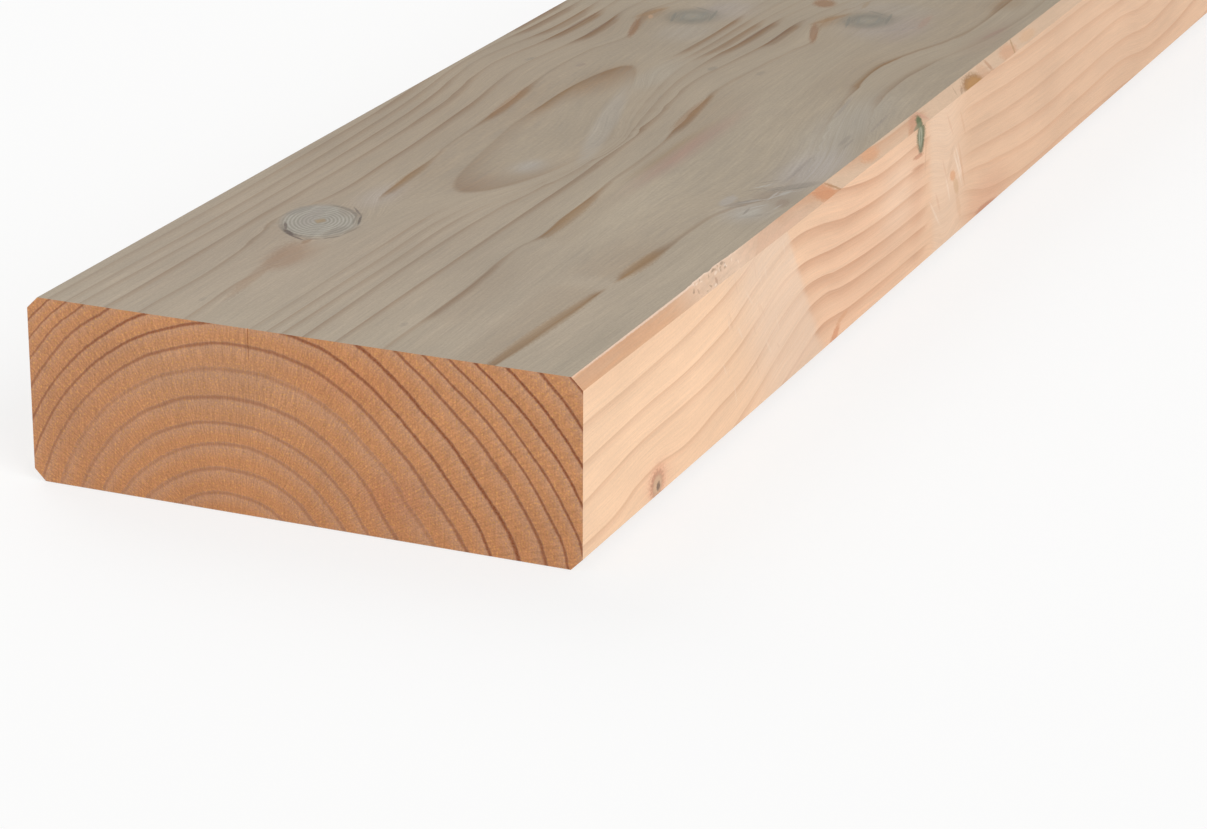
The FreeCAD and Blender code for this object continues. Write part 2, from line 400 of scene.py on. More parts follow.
# The ends: the same rings cut square. Late wood shows most in the middle rings and faintest to the left.
END_FIBRE_RADIUS = 60.0
END_SHOWN = (0.4, 0.4, 0.4, 0.45, 0.5, 0.3, 0.7, 0.9, 0.95, 0.8, 0.85, 0.85, 1.0, 1.0, 0.9, 0.9, 0.9)
ends = on_side("near end", "far end")
rings[ends], end_distance, end_angle = rings_from_pith(across[ends], along[ends], up[ends])
fibre[ends] = np.stack((end_distance, np.radians(end_angle) * END_FIBRE_RADIUS, along[ends]), axis=1)
strength[ends] = np.interp(rings[ends], np.arange(len(END_SHOWN)) + INNER_RINGS, END_SHOWN)
strength[ends] *= 1 - 0.3 * rise(20, 50, -end_angle)

# The oval on the top, where the plane cut through the crest of a ring: its middle line, its half widths,
# and how dark its upper and lower rims are, all against the distance along.
OVAL_START, OVAL_END = 122.5, 256.6
OVAL_MIDDLE = (
    (100, 58), (124, 61), (150, 62.5), (185, 61), (207, 57), (235, 53.3), (258, 51.6), (280, 51),
)
OVAL_HALF_WIDTH = ((124, 14.2), (185, 15.2), (207, 12), (258, 9.5))
OVAL_UPPER = ((124, 0.55), (150, 0.4), (182, 0.4), (195, 0.6), (206, 1.0), (246, 1.0), (258, 0.7))
OVAL_LOWER = ((124, 0.55), (140, 0.45), (160, 0.15), (240, 0.15), (256, 0.5))
oval_reach, oval_shown = np.full(corners, FAR_OFF), np.zeros(corners)
here = on_side("top")
distance, place = along[here], across[here]
lengthwise = (2 * distance - OVAL_START - OVAL_END) / (OVAL_END - OVAL_START)
aside = place - curve_at(OVAL_MIDDLE, distance)
oval_reach[here] = np.hypot(lengthwise, aside / table_at(OVAL_HALF_WIDTH, distance))
upper, lower = table_at(OVAL_UPPER, distance), table_at(OVAL_LOWER, distance)
oval_shown[here] = upper + (lower - upper) * rise(-3, 3, aside)

# How warm a brown the late wood is. Each patch has its place along and across the top, its half length
# and half width, and how much it warms its middle.
TOP_WARMTH = (
    (203, 34, 30, 5, 0.7), (222, 47, 36, 8, 1.0), (130, 41, 18, 4, 0.8), (296, 18, 20, 9, 0.6),
    (301, 68, 20, 11, 0.5), (300, 35, 16, 6, 0.9), (318, 88, 18, 6, 0.9), (118, 94, 28, 6, 1.0),
    (225, 87, 22, 6, 0.8), (32, 123, 40, 7, 0.9), (82, 125, 18, 7, 1.0), (360, 130, 40, 6, 0.5),
    (278, 121, 24, 6, 1.0),
)
warmth = 0.45 + 0.35 * np.sin(along / 97 - across / 17 + up / 7)
drawn = np.full(len(distance), 0.12)
for patch_along, patch_across, half_length, half_width, amount in TOP_WARMTH:
    offset = ((distance - patch_along) / half_length) ** 2 + ((place - patch_across) / half_width) ** 2
    drawn += amount * np.exp(-offset)
warmth[here] = drawn + (warmth[here] - drawn) * rise(385, 500, distance)
warmth[on_side("right", "top right", "low right")] = 0.6
warmth = np.clip(warmth, 0, 1)


def srgb(code):
    """A colour written as sRGB hex, as linear red, green, blue."""
    parts = np.array([int(code[i:i + 2], 16) for i in (1, 3, 5)]) / 255
    return np.where(parts <= 0.04045, parts / 12.92, ((parts + 0.055) / 1.055) ** 2.4)


# Soft stains: grey weathering, warm flares and pale planed-over patches that don't follow the rings. Each
# has its place along and across its face, its half length and half width, its colour and how much of it
# shows.
STAINS = {
    "top": (
        (50, 28, 75, 34, "#94796A", 0.16), (55, 76, 60, 24, "#94796A", 0.12),
        (45, 118, 60, 24, "#94796A", 0.1), (180, 18, 90, 30, "#8E7760", 0.26),
        (165, 66, 90, 26, "#8E7760", 0.16), (300, 50, 60, 50, "#8A7A66", 0.15),
        (55, 44.2, 11, 5.5, "#8A6B52", 0.55), (110, 42, 12, 5, "#A29A97", 0.35),
        (175, 61, 42, 11, "#968874", 0.4), (130, 60, 9, 7, "#8A735F", 0.35),
        (238, 50.5, 20, 6.5, "#876E52", 0.6), (150, 67, 7, 4, "#9D9A96", 0.5),
        (182, 100, 38, 3.2, "#957668", 0.8), (178, 96.4, 28, 1.8, "#85704F", 0.6),
        (136, 136, 10, 7, "#A09C99", 0.4), (152, 139, 9, 6, "#857A6E", 0.5),
        (180, 138, 22, 8, "#A19A97", 0.6), (222, 132, 36, 9, "#9C968C", 0.5),
        (332, 112, 20, 5, "#8F7C71", 0.4), (14, 141, 26, 3.5, "#8D8271", 0.5),
        (330, 139, 24, 5, "#8C7664", 0.4), (250, 63, 18, 5, "#98948A", 0.3),
        (300, 52, 12, 9, "#9B9389", 0.4), (330, 53, 14, 9, "#9A918C", 0.5),
        (318.6, 46.8, 9.0, 7.4, "#3F3E32", 0.9), (318.6, 46.8, 5.0, 4.0, "#827C6E", 0.95),
        (316, 33.8, 9, 3, "#85653F", 0.6), (330, 106, 15, 12, "#968C86", 0.5),
        (352, 100, 10, 14, "#938C84", 0.4), (336, 98, 9.0, 7.4, "#3F3E32", 0.9),
        (336, 98, 5.0, 4.0, "#827C6E", 0.95), (329, 86.8, 9, 2.8, "#85653F", 0.6),
        (375, 131, 10, 5, "#7F6240", 0.4),
    ),
    "right": (
        (190, 22, 58, 34, "#E4B798", 0.5), (45.9, 6.5, 9, 5, "#DFA88B", 0.4),
        (305, 6, 22, 8, "#D3A083", 0.5), (222, 30, 15, 12, "#E3C4AA", 0.6),
        (239, 26, 6, 16, "#D9AF93", 0.4), (30, 44, 60, 5, "#ECC3A0", 0.4),
        (410, 22, 70, 40, "#CFAD91", 0.5),
    ),
    "top right": (
        (0, 46.5, 100, 90, "#D29F78", 0.9), (92, 46.5, 26, 90, "#DFC1A8", 0.9),
        (130, 46.5, 22, 90, "#D5AE94", 0.7),
    ),
    "left": (
        (83, 24, 12, 7, "#DDA88A", 0.4), (1275, 20, 16, 8, "#D9A07C", 0.45),
        (1990, 10, 12, 6, "#D9A07C", 0.4),
    ),
    "underside": ((338, 50, 24, 9, "#C99C7C", 0.4), (1288, 60, 26, 9, "#C99C7C", 0.4)),
    "near end": (
        (50, 33, 26, 11, "#B58D70", 0.45), (10, 24, 20, 22, "#B07C5C", 0.5),
        (104, 12, 10, 6, "#BA8C72", 0.35), (88, 38, 16, 6, "#C47A4C", 0.35),
        (98, 10, 8, 5, "#C07248", 0.3),
    ),
}
stain = np.zeros((corners, 4))


def lay_stain(here, amounts, code):
    """Lay one more stain over the corners of a side, in the given amounts from 0 to 1."""
    colour, cover = stain[here, :3], stain[here, 3]
    total = amounts + cover * (1 - amounts)
    kept = (cover * (1 - amounts))[:, None] * colour
    stain[here, :3] = (kept + amounts[:, None] * srgb(code)) / np.maximum(total, 1e-6)[:, None]
    stain[here, 3] = total


for side, patches in STAINS.items():
    here = on_side(side)
    first = across[here] if side == "near end" else along[here]
    second = across[here] if side in ("top", "underside") else up[here]
    for patch_first, patch_second, half_first, half_second, code, amount in patches:
        offset = ((first - patch_first) / half_first) ** 2 + ((second - patch_second) / half_second) ** 2
        lay_stain(here, amount * np.exp(-offset ** 1.6), code)

# Two pale places on the right edge, where the plane tore the grain of a hidden branch: one ends in a
# crisp slanted line, and the other spreads downwards from beside the resin pocket.
TEAR_FROM, TEAR_FULL, TEAR_UNTIL, TEAR_END, TEAR_BLUR = 80, 112, 135, 137, 0.12
SPREAD_FROM, SPREAD_FULL, SPREAD_UNTIL, SPREAD_END, SPREAD_LEAN = 244, 250, 262, 284, 0.2
here = on_side("right")
slanted = along_tear(along[here], up[here])
tear_end = TEAR_END + TEAR_BLUR * (TEAR_TOP - up[here])
torn_pale = rise(TEAR_FROM, TEAR_FULL, slanted) * (1 - rise(TEAR_UNTIL, tear_end, slanted))
lay_stain(here, 0.75 * torn_pale, "#DEC3AC")
spread = along[here] - (THICKNESS - up[here]) * SPREAD_LEAN
spread_pale = rise(SPREAD_FROM, SPREAD_FULL, spread) * (1 - rise(SPREAD_UNTIL, SPREAD_END, spread))
lay_stain(here, 0.85 * spread_pale, "#DDBFA5")

# What the materials read, kept at each corner. The oval needs only two of a vector's three values.
CORNER_VALUES = {
    "rings": rings, "fibre": fibre, "stain": stain,
    "late_wood": np.stack((strength, warmth, late_share), axis=1),
    "knot": np.stack((knot_reach, knot_dark, knot_rim), axis=1),
    "oval": np.stack((oval_reach, oval_shown, np.zeros(corners)), axis=1),
}
KINDS = {1: ("FLOAT", "value"), 3: ("FLOAT_VECTOR", "vector"), 4: ("FLOAT_COLOR", "color")}
for name, values in CORNER_VALUES.items():
    kind, field = KINDS[values.size // corners]
    layer = mesh.attributes.new(name, kind, "CORNER")
    layer.data.foreach_set(field, np.ascontiguousarray(values, np.float32).ravel())

# Relief that the plane and the saw left: knots crack at the rim, the top right arris is torn for about
# 20 mm, all arrises have small nicks, and the near end has a short drying check under its top edge.
RIM_CRACK_DEPTH, RIM_CRACK_AT, RIM_CRACK_WIDTH = 0.2, 1.03, 0.12
TORN_DEPTH, TORN_MIDDLE, TORN_REACH, TORN_PITCH = 0.7, 84.0, 13.0, 2.1
FRAY_DEPTH, FRAY_MIDDLE = 0.7, 86.0
NICKS, DEEPEST_NICK = 46, 0.8
vertex_across, vertex_along, vertex_up = points.T
moves = np.zeros_like(points)
for knot in KNOTS["top"]:
    reach = np.hypot(*knot_offset(knot, vertex_along, vertex_across))
    crack = -RIM_CRACK_DEPTH * knot[-1] * np.exp(-((reach - RIM_CRACK_AT) / RIM_CRACK_WIDTH) ** 2)
    moves[:, 2] += np.where(vertex_up > THICKNESS - 0.01, crack, 0.0)
to_right, to_top = vertex_across > WIDTH / 2, vertex_up > THICKNESS / 2
near_edge = np.abs(vertex_across - WIDTH / 2) > WIDTH / 2 - ARRIS + 0.1
on_arris = near_edge & (np.abs(vertex_up - THICKNESS / 2) > THICKNESS / 2 - ARRIS + 0.1)
torn = TORN_DEPTH * np.exp(-(((vertex_along - TORN_MIDDLE) / TORN_REACH) ** 4))
torn = torn * (0.5 + 0.5 * np.sin(vertex_along * TORN_PITCH)) * to_right * to_top
draw = np.random.default_rng(7)
for _ in range(NICKS):
    nick_along, length, depth = draw.uniform(120, LENGTH - 40), draw.uniform(2, 7), draw.uniform(0.1, 0.5)
    at_corner = (to_right == draw.integers(0, 2)) & (to_top == draw.integers(0, 2))
    torn += at_corner * depth * np.exp(-((vertex_along - nick_along) / length) ** 2)
torn = np.where(on_arris, np.minimum(torn, DEEPEST_NICK), 0.0) / math.sqrt(2)
moves[:, 0] -= torn * np.where(to_right, 1, -1)
moves[:, 2] -= torn * np.where(to_top, 1, -1)
on_torn_edge = (np.abs(vertex_across - WIDTH + ARRIS) < 0.05) & (vertex_up > THICKNESS - 0.01)
frayed = on_torn_edge * np.exp(-(((vertex_along - FRAY_MIDDLE) / TORN_REACH) ** 4))
moves[:, 0] -= frayed * draw.uniform(0, FRAY_DEPTH, len(points))
CHECK_FOOT, CHECK_DEPTH = 38.0, 0.5
in_check = (np.abs(vertex_across - CHECK_ACROSS) < 0.02) & (vertex_along < 0.01)
moves[:, 1] += np.where(in_check, CHECK_DEPTH * rise(CHECK_FOOT, THICKNESS - ARRIS, vertex_up), 0.0)
moved = (points + moves) * MM + np.array(low)
mesh.vertices.foreach_set("co", moved.astype(np.float32).ravel())

# A flat map for baking: the long faces lie side by side as strips, the first 600 mm at a larger scale
# than the rest, and the two ends sit above them at the largest scale.
BAKE_GAP, STRIP_SCALE, CLOSE_LENGTH, CLOSE_SHARE = 0.004, 2.05 / 1024, 600.0, 0.5
FLAT = ARRIS * math.sqrt(2)
strip_along = np.interp(along, (0, CLOSE_LENGTH, LENGTH), (0, CLOSE_SHARE, 1))
bake = np.zeros((corners, 2))
bake[:, 0] = BAKE_GAP + strip_along * (1 - 2 * BAKE_GAP)
strip_start = BAKE_GAP
for side, position, span in (
    ("top", across - ARRIS, WIDTH - 2 * ARRIS),
    ("top right", (across - up + THICKNESS - WIDTH + ARRIS) / math.sqrt(2), FLAT),
    ("right", THICKNESS - ARRIS - up, THICKNESS - 2 * ARRIS),
    ("low right", (WIDTH - across + ARRIS - up) / math.sqrt(2), FLAT),
    ("underside", WIDTH - ARRIS - across, WIDTH - 2 * ARRIS),
    ("low left", (ARRIS - across + up) / math.sqrt(2), FLAT),
    ("left", up - ARRIS, THICKNESS - 2 * ARRIS),
    ("top left", (across + up - THICKNESS + ARRIS) / math.sqrt(2), FLAT),
):
    here = on_side(side)
    bake[here, 1] = strip_start + position[here] * STRIP_SCALE
    strip_start += span * STRIP_SCALE + BAKE_GAP
END_SCALE = min((0.5 - 2 * BAKE_GAP) / WIDTH, (1 - BAKE_GAP - strip_start) / THICKNESS)
for side, start, position in (("near end", BAKE_GAP, across), ("far end", 0.5 + BAKE_GAP, WIDTH - across)):
    here = on_side(side)
    bake[here, 0] = start + position[here] * END_SCALE
    bake[here, 1] = strip_start + up[here] * END_SCALE
bake_map = mesh.uv_layers.new(name="OFBake")
bake_map.data.foreach_set("uv", bake.astype(np.float32).ravel())


def node(tree, kind, inputs=None, **settings):
    """Add a shader node and give its outputs. Each input is a plain value, or another node's output."""
    made = tree.nodes.new("ShaderNode" + kind)
    for name, value in settings.items():
        setattr(made, name, value)
    for socket, value in (inputs or {}).items():
        if isinstance(value, bpy.types.NodeSocket):
            tree.links.new(value, made.inputs[socket])
        else:
            made.inputs[socket].default_value = value
    return made.outputs


def rgba(code):
    """A colour written as sRGB hex, as the linear colour with full alpha that a node's socket holds."""
    return (*srgb(code), 1.0)


def new_material(name):
    """A new material, its node tree and its shader."""
    material = bpy.data.materials.new(name)
    material.use_nodes = True
    return material, material.node_tree, material.node_tree.nodes["Principled BSDF"]


def noises(tree, rows):
    """Noise patterns by name. Each row has a name, the place it reads, its size each way and its detail."""
    patterns = {}
    for name, place, sizes, detail in rows:
        scale = [1 / size for size in sizes]
        scaled = node(tree, "VectorMath", {0: place, 1: scale}, operation="MULTIPLY")[0]
        patterns[name] = node(tree, "TexNoise", {"Vector": scaled, "Scale": 1.0, "Detail": detail})[0]
    return patterns


def layered(tree, colour, layers):
    """A colour with others laid over it in turn. Each layer is an amount and a colour."""
    for amount, over in layers:
        colour = node(tree, "Mix", {0: amount, 6: colour, 7: over}, data_type="RGBA")[2]
    return colour


def finish_surface(tree, shader, colour, tones, heights, depth):
    """Link a colour and a bumped surface to the shader. Each tone or height is a pattern and an amount."""
    tone = 1.0
    for pattern, amount in tones:
        level = node(tree, "MapRange", {0: pattern, 1: 0.25, 2: 0.75, 3: 1 - amount, 4: 1 + amount})[0]
        tone = node(tree, "Math", {0: level, 1: tone}, operation="MULTIPLY")[0]
    toned = node(tree, "VectorMath", {0: colour, 3: tone}, operation="SCALE")[0]
    tree.links.new(toned, shader.inputs["Base Color"])
    height = 0.0
    for pattern, amount in heights:
        height = node(tree, "Math", {0: pattern, 1: amount, 2: height}, operation="MULTIPLY_ADD")[0]
    bump = node(tree, "Bump", {"Height": height, "Distance": depth * MM, "Strength": 1.0})[0]
    tree.links.new(bump, shader.inputs["Normal"])


# Planed softwood, left bare: matt, with pale early wood that darkens slowly into the late wood of each
# ring and starts pale again at once. Grey knots, stains, resin and marks lie over it, and hair-fine
# fibres all through it. The top's colours are greyer and darker than those of the edges and the
# underside: this is painted shade on the top, and the edges and the underside show the fresh colour.
# Each mark has its place along its face and across or up it, its half length and half width, how many
# degrees it is turned, its colour and how much of it shows.
TOP_MARKS = (
    (28, 125.4, 28, 2.2, 2, "#8A6E4C", 0.5), (84, 127.6, 13, 2.4, 1, "#8A6E4C", 0.6),
    (112, 95.6, 17, 1.9, -3, "#8A6E4C", 0.55), (126, 41.6, 16, 1.5, -4, "#8A6E4C", 0.45),
    (207, 35.4, 17, 1.7, -5, "#866544", 0.5), (216, 87.4, 17, 1.8, -5, "#866544", 0.5),
    (295, 25.6, 14, 0.6, -1, "#6A4A30", 0.6), (297, 17.8, 15, 0.6, 0, "#6A4A30", 0.6),
    (306, 72.2, 14, 0.6, 1, "#6A4A30", 0.55), (309, 79.6, 12, 0.6, 0, "#6A4A30", 0.55),
    (196, 69.5, 38, 3.2, -14, "#A29F99", 0.3), (54, 43, 12, 4.4, -12, "#8C7058", 0.35),
    (40, 43, 22, 1.7, -7, "#8A7058", 0.45), (15, 40.5, 1.6, 0.8, 0, "#7B7368", 0.3),
    (18, 93.5, 1.6, 0.8, 0, "#7B7368", 0.35), (252, 21.5, 2.4, 1.0, 10, "#716A5F", 0.35),
    (252, 38, 2.4, 1.0, 10, "#7B6860", 0.4), (264, 75, 2.6, 1.2, 0, "#716A5F", 0.4),
    (265, 90, 2.6, 1.2, 0, "#716A5F", 0.3), (350.5, 78.5, 5, 3.6, -20, "#836040", 0.85),
    (354, 91, 5, 0.8, -6, "#8A7355", 0.5), (77, 44.9, 5.2, 1.6, 16, "#776B5E", 0.4),
    (90, 28.5, 5.5, 2.0, 12, "#7E776D", 0.5), (86, 34, 9, 2.2, -12, "#948A82", 0.35),
    (93, 40, 5, 1.6, -35, "#857868", 0.35), (68.6, 38.4, 3.2, 0.5, -62, "#5A4A3E", 0.8),
    (71.6, 34.6, 3.0, 0.9, -46, "#52433A", 0.85), (76.4, 31.2, 3.2, 0.45, -30, "#5A4A40", 0.8),
    (69.2, 42.6, 2.4, 0.5, 62, "#6E6053", 0.75), (72.6, 46.6, 2.6, 0.5, 38, "#6E6053", 0.7),
    (79.5, 48.6, 4.0, 0.5, 8, "#7F7060", 0.7), (88.5, 46.5, 4.4, 0.35, -20, "#5E5247", 0.9),
    (94.8, 42.8, 4.0, 0.35, -40, "#685B4F", 0.8), (88.2, 45.2, 4.0, 0.3, -20, "#7A6E60", 0.7),
    (93.8, 41.7, 3.4, 0.3, -40, "#7A6E60", 0.6), (66.5, 42.3, 2.2, 1.0, 0, "#856A50", 0.7),
    (142, 131.6, 5.5, 1.3, 36, "#7E7266", 0.6), (151.5, 135.5, 6, 3.0, 10, "#857463", 0.4),
    (146.5, 141.6, 4, 1.8, -10, "#86705F", 0.45), (162, 139.5, 8, 2.2, 35, "#7C7368", 0.5),
    (132.5, 138, 5, 1.0, 42, "#857C70", 0.4), (143, 127.6, 5, 1.8, 0, "#A19C99", 0.4),
    (134.5, 136.6, 5, 2.6, 12, "#A8A49A", 0.3), (155.5, 139, 3.0, 1.0, 10, "#A59F95", 0.5),
    (178, 134.5, 13, 0.6, -3, "#847B73", 0.4), (209, 136.5, 6, 0.8, -4, "#7F766D", 0.45),
    (206, 138.5, 5, 0.4, -4, "#7F766D", 0.5), (240, 124.8, 12, 0.6, -7, "#857C74", 0.5),
    (230, 139.5, 12, 0.5, -4, "#857A70", 0.5), (299, 35.4, 12, 1.3, -15, "#7E5A3A", 0.75),
    (318, 33.2, 8, 1.5, 16, "#856642", 0.6), (313, 35, 2.4, 0.8, -20, "#B08C6C", 0.6),
    (333, 87, 9, 1.4, 20, "#856642", 0.6), (315, 88, 12, 1.3, -18, "#7E5A3A", 0.75),
    (341, 114.8, 9, 1.2, -6, "#967A69", 0.5), (329, 110, 9, 0.8, 45, "#8E8278", 0.5),
    (337, 138.5, 9, 0.9, 8, "#8C6E60", 0.5), (315, 41.8, 6.5, 0.5, -14, "#6F6B5F", 0.7),
    (322, 52.2, 7, 0.5, -10, "#6F6B5F", 0.7), (317, 44.2, 5, 0.4, -12, "#77736A", 0.6),
    (321, 49.4, 5, 0.4, -10, "#77736A", 0.6), (328.5, 46, 3.6, 0.5, -64, "#6F6B5F", 0.5),
    (332, 93, 6.5, 0.5, -14, "#6F6B5F", 0.7), (340, 103.4, 7, 0.5, -10, "#6F6B5F", 0.7),
    (335, 95.4, 5, 0.4, -12, "#77736A", 0.6), (338, 100.8, 5, 0.4, -10, "#77736A", 0.6),
    (346, 97.4, 3.6, 0.5, -64, "#6F6B5F", 0.5),
)
EDGE_MARKS = (
    (241.2, 39.6, 2.4, 3.0, 0, "#565E45", 0.85), (240.8, 42.6, 3.7, 3.8, 0, "#5C6549", 0.9),
    (240.4, 42.0, 1.7, 3.4, 8, "#A2A18B", 0.85), (240.6, 41.6, 0.4, 2.6, 8, "#5E644C", 0.7),
    (239, 36.6, 4.6, 0.7, -4, "#B98468", 0.7), (239, 33.4, 5.4, 0.5, -4, "#C08E70", 0.6),
    (245.6, 36, 0.5, 7, 0, "#C79E83", 0.5), (45.6, 6.2, 5.6, 4.6, 0, "#D19C80", 0.6),
    (45.4, 6.0, 3.8, 3.4, 0, "#A4745C", 0.65), (45.8, 5.6, 2.9, 2.6, 0, "#CDAC8E", 0.85),
    (46.4, 5.0, 1.2, 1.2, 0, "#5C4A40", 0.75), (172, 4, 4.5, 1.8, 30, "#C88A66", 0.7),
    (178, 7.6, 4.5, 0.8, 8, "#CE9A76", 0.6), (271.4, 22, 2.8, 1.6, -20, "#CF9368", 0.65),
    (275, 18, 3.6, 1.8, -50, "#C09A74", 0.5), (269, 27, 5, 1.6, 60, "#D0AE92", 0.5),
    (278, 11, 5, 1.6, -60, "#D2AB8C", 0.5), (306, 3, 11, 1.4, -4, "#B27C62", 0.75),
)
ARRIS_MARKS = (
    (50, 47.9, 62, 0.3, 0, "#EBD2BE", 0.7), (164.8, 46.7, 6.8, 2.6, -12, "#C58A64", 0.85),
    (171.4, 46.4, 3.8, 0.4, -27, "#A1774E", 0.7), (202, 46.9, 7, 1.5, 0, "#CB9874", 0.75),
    (239, 46.3, 7, 1.8, 12, "#B98B72", 0.7), (245.5, 46.8, 3.2, 0.7, -30, "#C49680", 0.6),
    (241.6, 46.0, 3.0, 1.1, 18, "#5A6646", 0.95), (238.6, 45.3, 4.2, 0.5, 6, "#7B7C62", 0.75),
    (279, 45.7, 1.8, 0.4, 15, "#A3876F", 0.7), (275, 46.6, 1.2, 0.4, 60, "#B0947C", 0.6),
    (289, 45.1, 8.6, 2.7, 0, "#856039", 0.85), (289.4, 44.8, 7.4, 2.1, 0, "#AE8251", 0.85),
    (300, 46.2, 4.5, 1.7, 0, "#C29B7E", 0.6), (306.6, 46.5, 1.2, 1.6, 0, "#AF876B", 0.7),
    (325, 46.2, 7.5, 1.8, 0, "#C7997A", 0.7), (330.6, 46.6, 3.6, 0.4, 36, "#A08058", 0.6),
    (233, 45.5, 4, 0.5, 10, "#BD8F70", 0.6), (345, 46.5, 8, 1.2, 0, "#CBA27E", 0.5),
    (88, 47.5, 1.9, 0.3, 0, "#9C8470", 0.7), (94, 47.6, 1.3, 0.3, 8, "#9C8470", 0.7),
    (75, 46.1, 1.2, 0.3, 10, "#B3917A", 0.7), (86, 45.7, 1.4, 0.3, 12, "#B3917A", 0.7),
)


def scattered(count, alongs, acrosses, lengths, widths, turns, codes, amount):
    """Small marks at random places, sizes and turns within these ranges, in the given colours by turns."""
    return tuple(
        (
            draw.uniform(*alongs), draw.uniform(*acrosses), draw.uniform(*lengths),
            draw.uniform(*widths), draw.uniform(*turns), codes[index % len(codes)], amount,
        )
        for index in range(count)
    )


# Crumbs of torn wood on the arris, torn fibres on the top beside it, and the fine ripples and splits of
# the two pale places on the right edge.
crumbs = scattered(
    24, (72, 102), (45.3, 47.9), (0.4, 1.1), (0.1, 0.22), (0, 35), ("#EEDAC8", "#A58A74"), 0.6,
)
torn_fibres = scattered(
    18, (132, 164), (131, 142), (1.5, 4.5), (0.2, 0.4), (-5, 45), ("#736B61", "#ADA8A1"), 0.5,
)
ripples = scattered(
    20, (90, 132), (9, 42), (1.5, 4.0), (0.25, 0.5), (-72, -42), ("#E9D3BF", "#CFAA8E"), 0.25,
)
splits = scattered(
    12, (252, 281), (12, 42), (3.0, 8.0), (0.3, 0.7), (-66, -40), ("#EBD8C7", "#CC9F80"), 0.35,
)


def lay_mark(tree, colour, place, ragged, centre, half_size, turned, code, amount):
    """Lay a crisp oval mark with a ragged rim over a colour. Its middle and half sizes are in mm."""
    inside = node(
        tree, "Mapping", {0: place, 1: low + Vector(centre) * MM, 2: turned, 3: Vector(half_size) * MM},
        vector_type="TEXTURE",
    )[0]
    reach = node(tree, "VectorMath", {0: inside}, operation="LENGTH")[1]
    reach = node(tree, "Math", {0: ragged, 1: 0.8, 2: reach}, operation="MULTIPLY_ADD")[0]
    shown = node(tree, "MapRange", {0: reach, 1: 1.2, 2: 0.7, 3: 0.0, 4: amount})[0]
    return node(tree, "Mix", {0: shown, 6: colour, 7: rgba(code)}, data_type="RGBA")[2]


